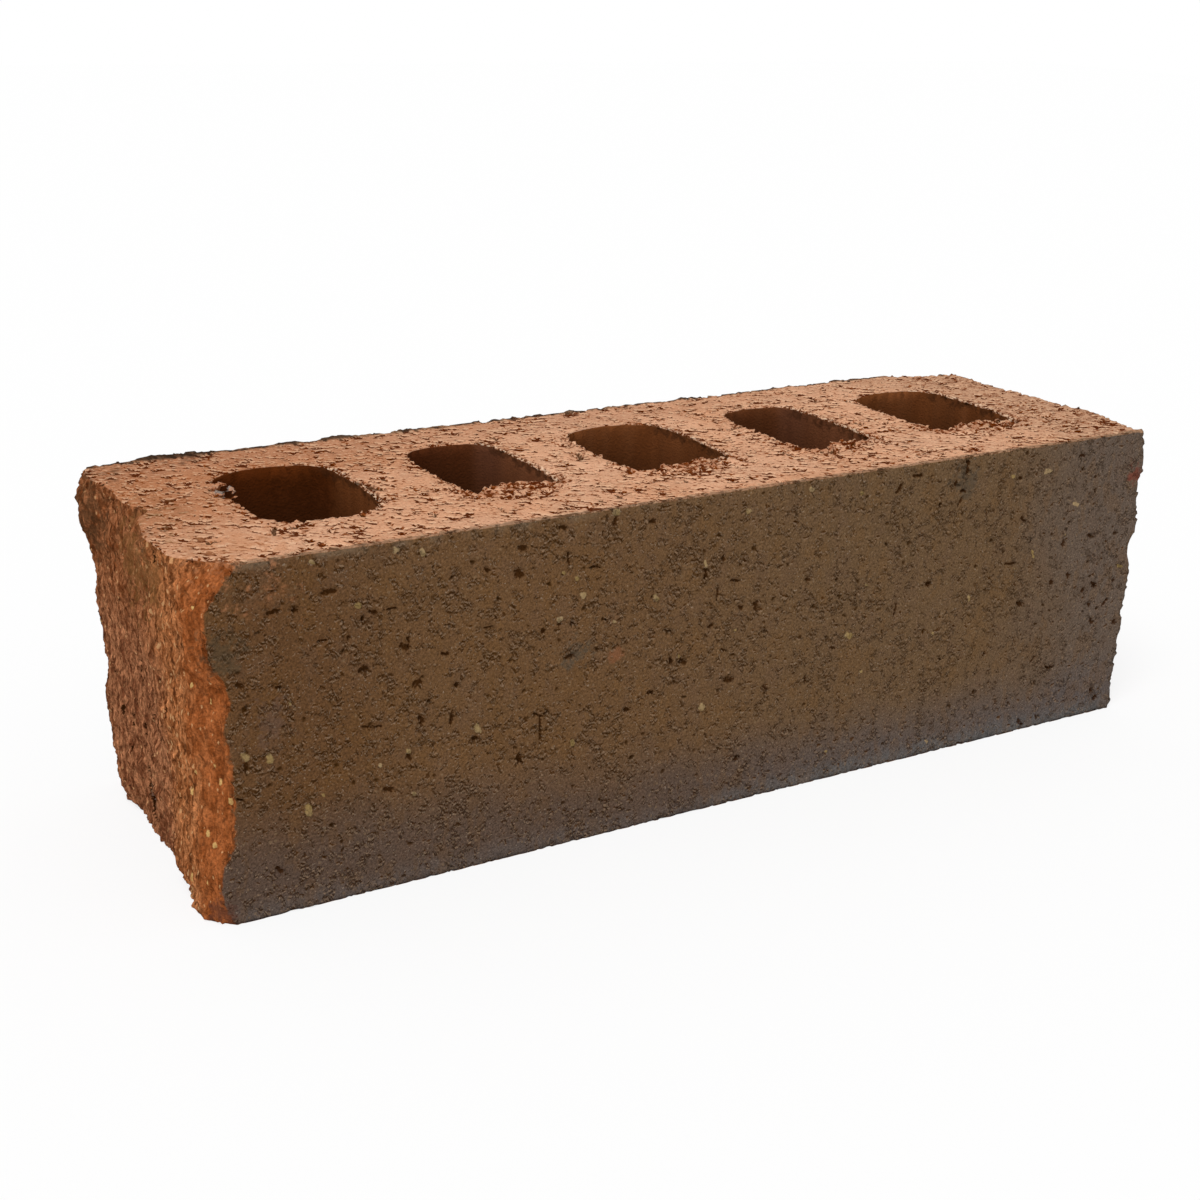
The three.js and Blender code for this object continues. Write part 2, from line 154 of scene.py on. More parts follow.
BED_HOLLOWS = [
    (-130.4, 12.7, -130.2, 12.1, 0.8), (-136.6, 17.6, -135.4, 16.6, 0.6), (-138, -28.8, -134.6, -28, 0.7),
    (-145.8, -37.2, -144.8, -37.6, 1.0), (-81.6, 33.2, -81.4, 31.8, 0.8), (-117.3, 33.2, -116.4, 33, 0.7),
    (-125, 32, -123.6, 31.2, 0.7), (-123.6, 6.6, -121.6, 6.6, 0.8), (-122.8, 12.6, -119.6, 12.4, 0.5),
    (-122, 2.6, -120.6, 2.8, 0.5), (-121.5, -5, -121, -7, 0.8),
    (-86.8, 1.8, -85, -1.5, 1.0), (-85.4, -2, -84, -6, 1.3), (-80, 1.2, -79.2, 4.2, 0.6),
    (-119.4, -24, -121.6, -29, 0.7), (-115.2, -25.4, -114, -25, 0.9), (-80.3, -29.8, -82, -32, 0.6),
    (-145, 28.2, -143.6, 29, 0.8), (-97, -24.4, -96.6, -23, 0.7), (-108.4, -30.8, -107, -31, 0.6),
    (-66.8, 28.4, -65.4, 28.8, 0.8), (-70, 25.6, -66.3, 21.8, 0.8), (-34.6, 28.4, -34.3, 27.4, 1.1),
    (-42.8, 34.4, -42.2, 33.6, 0.9), (-23, 13.3, -22.8, 12.7, 0.8), (-21.6, 3, -23.6, -2.6, 0.8),
    (-27.9, -12.8, -27.1, -12.9, 0.8), (-29.5, -23.4, -29.2, -23.6, 0.6), (-53, -24.6, -50.6, -24.8, 0.7),
    (-64.5, -32, -64.6, -36, 0.6), (-32.6, -34.6, -32.4, -40, 0.6), (-58.1, -32.6, -58.8, -33.8, 0.3),
    (-49.2, -39.8, -48.8, -39.7, 0.7), (-38.8, -38, -38.2, -38.1, 0.8), (-9.2, -30, -9.3, -33, 0.6),
    (2, -36.2, 2.3, -36.8, 0.8), (-16.9, -28.4, -16.1, -28.6, 0.8), (31.4, -19, 31.6, -24, 0.8),
    (44.6, -24.4, 45.4, -25.2, 1.3), (38, -24.2, 42, -23.6, 0.5), (32, 7.6, 37.6, 9.2, 1.0),
    (66.2, -26.8, 66.5, -27.2, 0.9), (42.8, -35, 43.3, -34.7, 0.7), (50.2, -33.4, 50.5, -33.2, 0.6),
    (12.8, -43.1, 13.2, -43.3, 0.8), (60.3, -38.6, 60.9, -38.3, 0.9), (53.4, -21.3, 56, -19.6, 0.9),
    (27.2, 37.6, 25, 37.1, 0.7), (129.6, -18.8, 130.4, -19.6, 1.2), (126.8, -18.4, 127.2, -18.6, 0.6),
    (121.8, -34.4, 122.8, -34.7, 0.8), (101.3, -33.8, 102.6, -32.9, 0.5), (87.3, -36.7, 87.7, -36.4, 0.7),
    (117, -24.8, 118, -25.3, 1.1), (112, -22.4, 113, -22.8, 1.1), (105.6, -22.3, 108, -20, 0.7),
    (111.6, -17, 118, -16.2, 1.0), (117.8, -19.8, 118.4, -20.4, 0.9), (136, -7.3, 136.3, -7.8, 0.7),
    (131.2, 28.8, 131.9, 28.2, 1.0), (112.4, 37.6, 112.8, 37.3, 0.8), (78, 30.2, 77.5, 26, 0.6),
    (85.8, 22, 88, 18, 0.9), (82, -13, 84, -15, 0.7), (71, -1, 72, -3, 1.1),
    (70.4, -12.8, 72.5, -13.3, 0.8),
]
END_HOLLOWS = [
    (9.8, 17, 8.2, 14.2, 1.9), (8.2, 14.2, 7.6, 10.5, 2.6), (7.6, 10.5, 8.3, 6, 2.0),
    (5.6, 15, 5, 11.5, 1.0), (8.6, 48.4, 8.3, 44.4, 0.7), (-20.9, 48.6, -19.6, 45.2, 0.8),
    (24.6, 31, 25, 28.6, 0.9), (9.2, 33.4, 8.9, 29, 0.6), (17, 31, 16.8, 28, 0.7),
    (31, 63.4, 31, 61.4, 1.1), (32, 40, 32, 37.6, 0.5), (18, 63.6, 18.2, 62.2, 0.8),
    (-10.5, 75.8, -10.4, 74.4, 0.6), (19.8, 21.2, 20, 20.2, 0.9), (-36.4, 49.4, -36.2, 48.4, 0.5),
    (-2, 38, -2.2, 34, 0.6), (2, 55, 1.8, 51.6, 0.6), (-12, 60, -12.2, 57.2, 0.6),
    (-27, 27, -27.2, 24.6, 0.5), (13, 40.6, 12.8, 37.4, 0.6), (-21.4, 87.6, -22, 85, 0.5),
]
# The stones in the spalled corner: the middle of each, half its height and half its width
SPALL_STONES = [
    (-142.1, -41.1, 40.4, 0.4, 0.7), (-145.8, -37.4, 37.8, 0.4, 0.7), (-141.5, -42.2, 36.4, 0.3, 0.5),
    (-146.4, -39.0, 41.5, 0.3, 0.4), (-145.7, -34.7, 32.2, 1.0, 0.6), (-139.9, -43.8, 32, 0.6, 0.6),
    (-144.4, -39.7, 22.9, 0.7, 0.6), (-143.2, -41, 20.2, 0.4, 0.6), (-146.6, -32, 7.8, 1.0, 0.7),
    (-145.8, -41.6, 11, 0.8, 0.5), (-144.6, -42.4, 62, 0.4, 0.5), (-146.2, -38.6, 60.2, 0.4, 0.5),
    (-142.7, -41.7, 57, 0.6, 0.5), (-146.6, -36, 79, 0.6, 0.4), (-145.9, -42.2, 79.7, 0.6, 0.5),
]

# Soft stains of the fire: place, size, colour and share
STAINS = [
    ((-49, -45, 53), 4, (0.085, 0.075, 0.055), 0.55),
    ((-36.5, -45, 50), 2, (0.26, 0.10, 0.045), 0.55),
    ((144, -45, 77), 3.2, (0.19, 0.050, 0.032), 0.75),
    ((-130, -45, 80), 6, (0.20, 0.080, 0.028), 0.3),
    ((-129, -45, 50), 5, (0.135, 0.082, 0.060), 0.4),
    ((-141, -45, 69), 5, (0.085, 0.062, 0.035), 0.55),
    ((77, -45, 83), 5, (0.075, 0.062, 0.045), 0.55),
    ((-132, -33, 90), 11, (0.50, 0.215, 0.100), 0.5),
    ((-146, 2, 78), 13, (0.16, 0.078, 0.025), 0.5),
    ((-147, -16, 81), 9, (0.18, 0.086, 0.029), 0.5),
    ((-147, -14, 88), 4, (0.10, 0.06, 0.035), 0.7),
    ((-146, 38, 80), 11, (0.07, 0.034, 0.015), 0.65),
    ((-120, 46, 90), 8, (0.035, 0.020, 0.012), 0.55),
    ((-143, 5, 14), 4, (0.10, 0.075, 0.05), 0.6),
    ((-119.4, 10, 90), 4, (0.25, 0.21, 0.18), 0.85),
    ((-143.5, -43, 3), 4, (0.10, 0.040, 0.028), 0.6),
    ((-93, 22, 80), 9, (0.045, 0.012, 0.003), 0.5),
    ((-142.6, 5.2, 12.5), 2.2, (0.15, 0.11, 0.10), 0.7),
]


def marks_object(name, strokes):
    """Strokes between places in millimetres as the edges of a mesh, which keep their half width."""
    mesh = bpy.data.meshes.new(name)
    shape = bmesh.new()
    width = shape.edges.layers.float.new("width")
    for start, end, half_width in strokes:
        ends = [shape.verts.new(Vector(corner) / METRE) for corner in (start, end)]
        shape.edges.new(ends)[width] = half_width
    shape.to_mesh(mesh)
    shape.free()
    return placed(name, mesh)


def on_front(strokes):
    return [((a, -FACE, b), (c, -FACE, d), width) for a, b, c, d, width in strokes]


def on_back(strokes):
    """Every other mark of the front face, end for end on the back face."""
    return [((-a, FACE, b), (-c, FACE, d), width) for a, b, c, d, width in strokes[::2]]


def on_bed(strokes):
    return [((a, b, TOP), (c, d, TOP), width) for a, b, c, d, width in strokes]


def upright(strokes):
    return [((x, y, z - half), (x, y, z + half), width) for x, y, z, half, width in strokes]


def on_left_end(strokes):
    """Strokes on the left end run through its uneven surface, as a fan of edges along X."""
    left = cad_low.x * METRE
    fan = []
    for a, b, c, d, width in strokes:
        steps = max(1, round(math.hypot(c - a, d - b) / width))
        for i in range(steps + 1):
            y = a + (c - a) * i / steps
            z = b + (d - b) * i / steps
            fan.append(((left - 1, y, z), (left + 18, y, z), width))
    return fan


def put(tree, kind, inputs=(), **settings):
    """A new node, with its settings and with its inputs set or linked."""
    node = tree.nodes.new(kind)
    for name, value in settings.items():
        setattr(node, name, value)
    for name, value in dict(inputs).items():
        socket = node.inputs[name]
        value = getattr(value, "socket", value)
        if isinstance(value, bpy.types.NodeSocket):
            tree.links.new(value, socket)
        else:
            socket.default_value = value
    return node


def lengthened(tree, vector, factor):
    """A vector or a colour times a factor."""
    inputs = {0: vector, "Scale": factor}
    return put(tree, "ShaderNodeVectorMath", inputs, operation="SCALE").outputs[0]


class Reading:
    """A number that varies over the clay, worked out by the nodes of one tree."""

    def __init__(self, tree, socket):
        self.tree = tree
        self.socket = socket

    def math(self, operation, *others, clamp=False):
        values = dict(enumerate((self, *others)))
        node = put(self.tree, "ShaderNodeMath", values, operation=operation, use_clamp=clamp)
        return Reading(self.tree, node.outputs[0])

    def __add__(self, other):
        return self.math("ADD", other)

    def __sub__(self, other):
        return self.math("SUBTRACT", other)

    def __mul__(self, other):
        return self.math("MULTIPLY", other)

    def __abs__(self):
        return self.math("ABSOLUTE")

    def least(self, other):
        return self.math("MINIMUM", other)

    def most(self, other):
        return self.math("MAXIMUM", other)

    def rest(self):
        """What this share leaves of the whole."""
        return self.math("MULTIPLY_ADD", -1, 1, clamp=True)

    def rise(self, low, high):
        """A smooth share: 0 up to low, and 1 from high on."""
        inputs = {"Value": self, "From Min": low, "From Max": high}
        node = put(self.tree, "ShaderNodeMapRange", inputs, interpolation_type="SMOOTHSTEP")
        return Reading(self.tree, node.outputs[0])

    def fall(self, low, high):
        """A smooth share: 1 up to low, and 0 from high on."""
        return self.rise(low, high).rest()

    def spread(self, low, high, least, most):
        """The number carried over, in a straight line, from one range to another."""
        inputs = {"Value": self, "From Min": low, "From Max": high, "To Min": least, "To Max": most}
        node = put(self.tree, "ShaderNodeMapRange", inputs, clamp=True)
        return Reading(self.tree, node.outputs[0])

    def swing(self, reach):
        """A noise as a number round 0 that stays well within half the reach each way."""
        return (self - 0.5) * reach

    def factor(self, least, most):
        """A noise, nearly all of which lies from 0.25 to 0.75, as a factor."""
        return self.spread(0.25, 0.75, least, most)


# The slow differences over the clay: the size of their clouds and where in the noise they lie. The
# finished mesh keeps them, so that the material only has to read them.
CLOUDS = {
    "fire": (26, 0), "bed_left": (30, 2), "right": (25, 19), "skin_left": (20, 39), "skin_low": (18, 9),
    "skin_foot": (10, 49), "end_left": (16, 4), "end_front": (6, 64), "broken": (5, 12),
    "patches": (6, 21), "crowd": (14, 19), "near_end": (5, 54), "inner": (8, 0), "stones": (7, 91),
}


class Clay:
    """The clay as a node tree reads it: each point's place in millimetres, before any wear, and
    its distances from the rims, the hollows and the stones. The clouds may be kept on the mesh."""

    def __init__(self, tree, place, rim=None, hollow=None, stone=None, kept=False):
        self.tree = tree
        self.kept = kept
        self.place = self.scaled(place, [METRE] * 3)
        parts = put(tree, "ShaderNodeSeparateXYZ", {0: self.place})
        self.x, self.y, self.z = (Reading(tree, socket) for socket in parts.outputs)
        self.rim, self.hollow, self.stone = rim, hollow, stone

    def vectors(self, operation, first, second):
        inputs = {0: first, 1: second}
        return put(self.tree, "ShaderNodeVectorMath", inputs, operation=operation).outputs

    def scaled(self, vector, factors):
        return self.vectors("MULTIPLY", vector, factors)[0]

    def moved(self, vector, shift):
        return self.vectors("ADD", vector, shift)[0]

    def beside(self, step):
        """The clay read from a place that lies this far aside."""
        other = copy.copy(self)
        other.place = self.moved(self.place, step)
        return other

    def turned(self, degrees):
        """The clay read with its grain turned about the upright axis."""
        other = copy.copy(self)
        inputs = {"Vector": self.place, "Angle": math.radians(degrees)}
        other.place = put(self.tree, "ShaderNodeVectorRotate", inputs, rotation_type="Z_AXIS").outputs[0]
        return other

    def away(self, place):
        """The distance from a place."""
        return Reading(self.tree, self.vectors("DISTANCE", self.place, place)["Value"])

    def noise(self, size, detail=2.0, rough=0.5, distort=0.0, stretch=(1, 1, 1), shift=0.0):
        """Cloudy noise, 0.5 on average, with clouds of the given size."""
        place = self.moved(self.place, [shift] * 3)
        inputs = {"Vector": self.scaled(place, [1 / (size * part) for part in stretch]),
                  "Scale": 1, "Detail": detail, "Roughness": rough, "Distortion": distort}
        return Reading(self.tree, put(self.tree, "ShaderNodeTexNoise", inputs).outputs["Fac"])

    def cloud(self, name):
        """One of the slow clouds."""
        if self.kept:
            node = put(self.tree, "ShaderNodeAttribute", attribute_name=name)
            return Reading(self.tree, node.outputs["Fac"])
        size, shift = CLOUDS[name]
        return self.noise(size, shift=shift)

    def wobble(self, size, reach, shift=0.0):
        """A shift of up to about half the given reach, each way."""
        place = self.scaled(self.moved(self.place, [shift] * 3), [1 / size] * 3)
        inputs = {"Vector": place, "Scale": 1, "Detail": 1}
        noise = put(self.tree, "ShaderNodeTexNoise", inputs).outputs["Color"]
        return self.scaled(self.moved(noise, [-0.5] * 3), [reach] * 3)

    def blots(self, size, share, ragged=0.0, stretch=(1, 1, 1), shift=0.0):
        """Scattered blots, about one to a cube of the given size, that take up this share of the
        clay: more than 0 inside a blot, and less outside it."""
        place = self.moved(self.place, [shift] * 3)
        if ragged:
            place = self.moved(place, self.wobble(size * 0.4, size * ragged, shift))
        inputs = {"Vector": self.scaled(place, [1 / (size * part) for part in stretch]), "Scale": 1}
        node = put(self.tree, "ShaderNodeTexVoronoi", inputs)
        reach = (share * 3 / (4 * math.pi)) ** (1 / 3)
        return Reading(self.tree, node.outputs["Distance"]).math("MULTIPLY_ADD", -1, reach)


class Zones:
    """The shares of the brick's different surfaces at a point."""

    def __init__(self, clay):
        bed_depth = (clay.z + 0.25).least(clay.z.math("MULTIPLY_ADD", -1, TOP))
        face_depth = abs(clay.y).math("MULTIPLY_ADD", -1, FACE)
        # The four kinds of surface: cut by the wire, rubbed by the die, drawn off the core rods, torn
        self.bed = bed_depth.fall(0.3, 0.5)
        at_end = clay.x.rise(142, 146) * 2.2
        ragged = clay.noise(1.8, detail=3).swing(1.2)
        skin_depth = face_depth * (ragged.spread(-0.2, 0.2, 0.5, 2.5)) - at_end
        self.skin = skin_depth.fall(0.2, 0.8) * self.bed.rest()
        along, across = (abs(way).fall(half, half + 2)
                         for way, half in zip((clay.x, clay.y), CORE_FIELD))
        self.wall = along * across * bed_depth.rise(0.3, 0.5)
        self.torn = (self.bed + self.skin + self.wall).rest()
        # The collar is the torn top and bottom of a core wall, and worn clay lies round the rims,
        # most of all in front of the last four cores, and in patches near the right end
        front = clay.y.fall(BACK_RIM - 3, BACK_RIM + 1)
        reach = clay.noise(3.2, detail=2, shift=14)
        self.collar = self.wall * (bed_depth + reach.swing(-8)).fall(1.2, 2.4) * front
        on_lip = clay.y.fall(LIPS_BACK - 2, LIPS_BACK + 2) * clay.x.rise(LIPS_LEFT - 2, LIPS_LEFT + 2)
        round_rims = self.bed * (clay.rim + reach.swing(-14) + on_lip * -4).fall(0.8, 2.6) * front
        near_end = clay.x.rise(116, 132) * clay.cloud("near_end").rise(0.44, 0.54)
        self.worn = round_rims.most(self.bed * near_end * 0.6)
        self.lip = self.bed * (clay.rim + reach.swing(-10)).fall(1.6, 3.2) * on_lip
        # The fringe is the dull edge of the bed along the front and back faces
        fine_reach = clay.noise(1.2, detail=2, shift=24)
        self.fringe = self.bed * (face_depth + fine_reach.swing(-6)).fall(0.2, 2.2)


def bed_pits(clay, zones):
    """The torn pits of a wire-cut bed, small and large, 1 at their floor, and the red clay that
    shows round the large ones."""
    clay = clay.turned(DRAG)
    crowd = clay.noise(8, detail=2, shift=40).swing(0.38)
    small = clay.noise(0.8, detail=1, stretch=(1.7, 1, 1)) + crowd * 0.6 + zones.worn * 0.02
    large = clay.noise(1.6, detail=3, rough=0.6, distort=0.2, stretch=(2.1, 1, 1), shift=17)
    large = large + crowd + zones.worn * 0.03
    return small.rise(0.625, 0.65), large.rise(0.56, 0.58), large.rise(0.50, 0.56)


def worn_crumbs(clay):
    """The coarse crumbs round the rims: low between them and high on them."""
    return clay.noise(1.5, detail=3, shift=34)


def crumble(clay):
    """The fine crumbs of the die skin, 0 on average."""
    return clay.noise(1.0, detail=3, rough=0.7, distort=0.8, shift=3) - 0.5


def coarseness(clay):
    """How much of the crumbs stands out of the die skin: most of it in scattered patches."""
    crowd = clay.cloud("crowd").swing(0.35)
    patch = (clay.noise(2.8, detail=3, rough=0.6, shift=9) + crowd).rise(0.50, 0.60)
    return patch * 0.85 + 0.25


def skin_pits(clay):
    """The pits and slits of the die skin, small and large, 1 at their floor."""
    small = clay.noise(1.5, detail=3, rough=0.65, stretch=(1.3, 1, 0.9), shift=5).rise(0.645, 0.67)
    large = clay.blots(5.2, 0.012, ragged=0.35, stretch=(1.2, 1, 0.9), shift=29).rise(0, 0.08)
    return small, large


def hollows(clay):
    """The larger hollows, 1 at their floor."""
    ragged = clay.noise(0.7, detail=2, shift=71).swing(3)
    return (clay.hollow + ragged).fall(0.6, 1.1)


def stones(clay):
    """The bare stones: less than 1 inside them."""
    ragged = clay.noise(1.1, detail=2, shift=81).swing(1.6)
    return clay.stone + ragged + 0.15


def clay_relief(clay):
    """How far the surface stands out of the plain one, in millimetres."""
    zones = Zones(clay)
    small, large, _ = bed_pits(clay, zones)
    on_bed = small * -0.12 - large * 0.35 + clay.noise(9, detail=3).swing(0.4)
    on_bed = on_bed + zones.worn * (worn_crumbs(clay) - 0.6) * 3.0
    few, deep = skin_pits(clay)
    on_skin = crumble(clay) * coarseness(clay) * 1.2 - few * 0.2 - deep * 0.6
    on_skin = on_skin + clay.noise(11, detail=2).swing(0.25)
    on_wall = clay.noise(9, stretch=(1, 1, 8)).swing(0.15)
    on_wall = on_wall - zones.collar * (worn_crumbs(clay) - 0.35) * 1.4
    on_torn = clay.noise(5, detail=4, rough=0.6).swing(2.2)
    on_torn = on_torn + clay.noise(1.7, detail=3, rough=0.6, stretch=UPRIGHT, shift=3).swing(3.2)
    on_torn = on_torn * clay.z.rise(76, 86).spread(0, 1, 1, 1.4)
    relief = on_bed * zones.bed + on_skin * zones.skin + on_wall * zones.wall + on_torn * zones.torn
    stone = stones(clay)
    groove = stone.rise(0.9, 1.1) * stone.fall(1.1, 1.5)
    return relief - hollows(clay) * 0.7 + stone.fall(0.2, 1.0) * 0.25 - groove * 0.25


def geometry_tree(name):
    """A new geometry tree, and the geometry that comes into it."""
    tree = bpy.data.node_groups.new(name, "GeometryNodeTree")
    for side in ("INPUT", "OUTPUT"):
        tree.interface.new_socket("Geometry", in_out=side, socket_type="NodeSocketGeometry")
    return tree, put(tree, "NodeGroupInput").outputs[0]


def keep(tree, geometry, name, value, kind="FLOAT"):
    """The geometry with a value kept on each of its points."""
    inputs = {"Geometry": geometry, "Name": name, "Value": value}
    node = put(tree, "GeometryNodeStoreNamedAttribute", inputs, data_type=kind, domain="POINT")
    return node.outputs[0]


def nearest(tree, marks):
    """The distance to the nearest edge of the marks, in millimetres, and that edge's width."""
    edges = put(tree, "GeometryNodeObjectInfo", {"Object": marks}).outputs["Geometry"]
    near = put(tree, "GeometryNodeProximity", {0: edges}, target_element="EDGES")
    distance = Reading(tree, near.outputs["Distance"]) * METRE
    found = put(tree, "GeometryNodeSampleNearest", {"Geometry": edges}, domain="EDGE")
    width = put(tree, "GeometryNodeInputNamedAttribute", {"Name": "width"}, data_type="FLOAT")
    sample = put(tree, "GeometryNodeSampleIndex",
                 {"Geometry": edges, "Value": width.outputs[0], "Index": found.outputs[0]},
                 data_type="FLOAT", domain="EDGE")
    return distance, sample.outputs[0]


def in_half_widths(tree, marks):
    """The distance to the nearest mark, in half widths of that mark, up to 3 of them."""
    distance, width = nearest(tree, marks)
    return distance.math("DIVIDE", width).least(3)


def relief_tree(rims, hollow_marks, stone_marks):
    """A geometry tree that keeps each point's place and its distances from the marks, and then
    pushes it out by the relief."""
    tree, geometry = geometry_tree("clay_relief")
    place = put(tree, "GeometryNodeInputPosition").outputs[0]
    rim = nearest(tree, rims)[0].least(12)
    hollow, stone = (in_half_widths(tree, marks) for marks in (hollow_marks, stone_marks))
    geometry = keep(tree, geometry, "place", place, "FLOAT_VECTOR")
    for name, reading in (("rim", rim), ("hollow", hollow), ("stone", stone)):
        geometry = keep(tree, geometry, name, reading)
    # The core rods left smooth walls, without the flats of the plain brick's curves
    clay = Clay(tree, place, rim, hollow, stone)
    smooth = put(tree, "GeometryNodeBlurAttribute",
                 {"Iterations": SMOOTHINGS, "Weight": Zones(clay).wall * 0.9, "Value": place},
                 data_type="FLOAT_VECTOR")
    smoothed = put(tree, "GeometryNodeSetPosition", {"Geometry": geometry, "Position": smooth.outputs[0]})
    clay = Clay(tree, put(tree, "GeometryNodeInputPosition").outputs[0], rim, hollow, stone)
    normal = put(tree, "GeometryNodeInputNormal").outputs[0]
    push = lengthened(tree, normal, clay_relief(clay) * (1 / METRE))
    # The rims wander to and fro in the plane of the bed
    near_rim = rim.fall(0.3, 2.5) * clay.y.fall(BACK_RIM - 2, BACK_RIM + 2)
    wander = clay.scaled(clay.wobble(1.4, 1.3 / METRE, shift=55), (1, 1, 0))
    offset = clay.moved(push, lengthened(tree, wander, near_rim))
    worked = put(tree, "GeometryNodeSetPosition", {"Geometry": smoothed.outputs[0], "Offset": offset})
    put(tree, "NodeGroupOutput", {0: worked.outputs[0]})
    return tree


def cloud_tree():
    """A geometry tree that keeps the slow clouds on the mesh."""
    tree, geometry = geometry_tree("slow_clouds")
    place = put(tree, "GeometryNodeInputNamedAttribute", {"Name": "place"}, data_type="FLOAT_VECTOR")
    clay = Clay(tree, place.outputs[0])
    for name in CLOUDS:
        geometry = keep(tree, geometry, name, clay.cloud(name))
    put(tree, "NodeGroupOutput", {0: geometry})
    return tree


def applied(piece):
    """The piece with its modifiers worked into its mesh."""
    graph = bpy.context.evaluated_depsgraph_get()
    mesh = bpy.data.meshes.new_from_object(piece.evaluated_get(graph))
    piece.modifiers.clear()
    piece.data = mesh
    return mesh


def sharp_edges(shape, wanted):
    """The ends, in millimetres, of the plain brick's sharp edges whose middle is wanted."""
    sharp = 0.9  # radians
    found = []
    for edge in shape.edges:
        a, b = (corner.co * METRE for corner in edge.verts)
        if edge.calc_face_angle(0) > sharp and wanted((a + b) / 2):
            found.append((a, b))
    return found


def in_core_field(place):
    return abs(place.x) < CORE_FIELD[0] and abs(place.y) < CORE_FIELD[1]


def on_right_end_front(place):
    return place.x > 130 and place.y < 0.5 - FACE


def on_right_end_top(place):
    return place.x > CORE_FIELD[0] and place.z > TOP - 0.5


def at_foot(place):
    return place.z < 1


def round_left_end(place):
    return place.x < -130 and (place.y > FACE - 3 or at_foot(place))


def scattered(edge, per_mm, least, largest, chance):
    """Places along an edge, so many to a millimetre, each with a size."""
    a, b = edge
    for _ in range(int((b - a).length * per_mm + chance.random())):
        size = chance.uniform(least, largest)
        yield a.lerp(b, chance.random()), size


def add_crumb(shape, middle, size, chance, long=False):
    """A lump of clay of its own, which the even mesh then joins to what it sits on."""
    turn = Matrix.Rotation(chance.uniform(0, math.tau), 4, "X" if long else chance.choice("XYZZ"))
    lengths = (1.5, 4) if long else (0.8, 1.5)
    stretch = [size * chance.uniform(*reach) / METRE for reach in (lengths, (0.7, 1.1), (0.4, 0.9))]
    place = Matrix.Translation(Vector(middle) / METRE) @ turn @ Matrix.Diagonal((*stretch, 1))
    bmesh.ops.create_icosphere(shape, subdivisions=1, radius=1, matrix=place)


def add_rim_crumbs(shape, rims, chance):
    """Crumbs sit thickly along the front rims in the upper bed and here and there along the others."""
    for a, b in rims:
        middle = (a + b) / 2
        if middle.z < MIDDLE or middle.y > BACK_RIM:
            continue
        core_middle = round(middle.x / PITCH) * PITCH
        out = Vector((middle.x - core_middle, middle.y, 0)).normalized()
        per_mm, spill, largest = (0.3, 0.8, 0.5)
        if middle.y < LIPS_BACK and middle.x > LIPS_LEFT:
            per_mm, spill, largest = (3.6, 1.5, 0.9)
        elif out.x > 0.6:
            per_mm, spill, largest = (1.5, 0.9, 0.7)
        for at, size in scattered((a, b), per_mm, 0.4, largest, chance):
            at += out * (abs(chance.gauss(0, spill)) - size * 0.2)
            add_crumb(shape, (at.x, at.y, TOP - size * chance.uniform(0.0, 0.8)), size, chance)


def add_back_lumps(shape, chance):
    """The burr along the upper back arris breaks up into lumps, large ones in a few places."""
    for x, size in [(-128, 1.5), (-125, 1.8), (-121.5, 1.9), (-118, 1.7), (-115, 1.6), (-112, 1.2),
                    (-89, 1.3), (-78, 1.3), (-75, 1.6), (-72, 1.3), (-55, 1.2), (-32, 1.0)]:
        for _ in range(4):
            x_at = x + chance.gauss(0, 1.4)
            place = (x_at, FACE - chance.uniform(-0.6, 1.2), TOP - 0.4)
            add_crumb(shape, place, size, chance, long=True)
            place = (x_at, FACE - chance.uniform(0, 1), TOP + size * 0.2)
            add_crumb(shape, place, size * 0.6, chance)
    for _ in range(110):
        x = chance.uniform(-140, 110)
        size = chance.uniform(0.5, 1.2)
        y = FACE - chance.uniform(-0.3, 1.0)
        place = (x, y, TOP - size * chance.uniform(0, 0.9))
        add_crumb(shape, place, size, chance, long=size > 0.9)


def add_right_end_lumps(shape, front_edges, upper_edges, chance):
    """The front and upper edges of the right end are lumpy too."""
    for edge in front_edges:
        for at, size in scattered(edge, 0.7, 0.5, 1.5, chance):
            place = (at.x + size * chance.uniform(-0.5, 0.4), at.y + size, at.z)
            add_crumb(shape, place, size, chance)
    for x, z, size in [(145, 57.4, 1.4), (144.8, 60, 1.2), (145.6, 74, 0.9), (144.4, 33.6, 1.0),
                       (144.6, 37.4, 1.0), (144.8, 17.4, 1.3), (144.8, 20, 1.1), (144.2, 5.4, 1.0),
                       (145.9, 56.4, 1.2), (145.2, 74.3, 1.0), (145.6, 30.4, 1.2), (145.8, 17.6, 1.1),
                       (145.0, 86.6, 1.1), (145.8, 39.4, 1.0)]:
        add_crumb(shape, (x, size * 0.8 - FACE, z), size, chance)
    for edge in upper_edges:
        for at, size in scattered(edge, 1.3, 0.5, 1.5, chance):
            add_crumb(shape, (at.x - size, at.y, TOP - size * chance.uniform(0.2, 1)), size, chance)


def add_left_end_lumps(shape, edges, chance):
    """The edge of the left end is lumpy along its foot and up the back. Its lower front corner
    swells into a few lumps, and a crumb lies against the lower front arris."""
    for edge in edges:
        least, largest = (0.5, 0.9) if at_foot(edge[0]) else (0.3, 0.6)
        for at, size in scattered(edge, 0.5, least, largest, chance):
            place = (at.x + size * 0.2, at.y - size * 0.3, max(at.z, size * 1.2))
            add_crumb(shape, place, size, chance)
    for x, y, size in [(-144.2, -36, 1.7), (-144.3, -39.4, 1.9), (-142.8, -42, 1.7), (-145, -33, 1.3),
                       (-140.6, -43.6, 1.3)]:
        add_crumb(shape, (x, y, size), size, chance)
    add_crumb(shape, (-121.5, -FACE - 0.2, 1.0), 1.0, chance)


